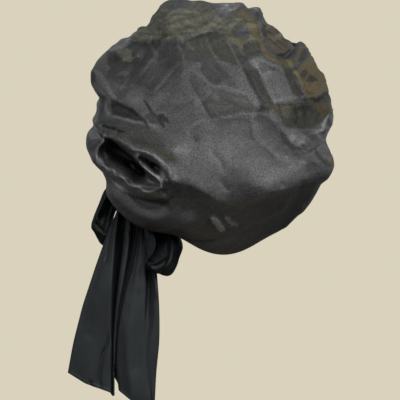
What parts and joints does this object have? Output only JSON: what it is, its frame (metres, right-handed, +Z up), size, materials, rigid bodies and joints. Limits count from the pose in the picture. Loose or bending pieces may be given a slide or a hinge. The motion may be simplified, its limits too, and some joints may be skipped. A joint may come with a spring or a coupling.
{
  "type": "satin bonnet",
  "caption": "Loose black satin sleep bonnet with a gathered crown, a head band and ties knotted in a bow, shaped as it sits on a head.",
  "frame": {"origin": "centre of the head band's loop, where the middle of the wearer's head sits", "axes": "+Z up, +Y where the wearer faces, +X to the wearer's right"},
  "size_m": [0.2869, 0.2744, 0.4432],
  "materials": {
    "crown_satin": "charcoal satin with a soft sheen",
    "tie_satin": "black satin, less shiny"
  },
  "bodies": {
    "root": {"crown": "crown_satin", "head_band": "tie_satin", "tie_knot": "tie_satin", "bow_loop_left": "tie_satin", "bow_loop_right": "tie_satin", "tie_tail_left": "tie_satin", "tie_tail_right": "tie_satin"}
  },
  "joints": []
}
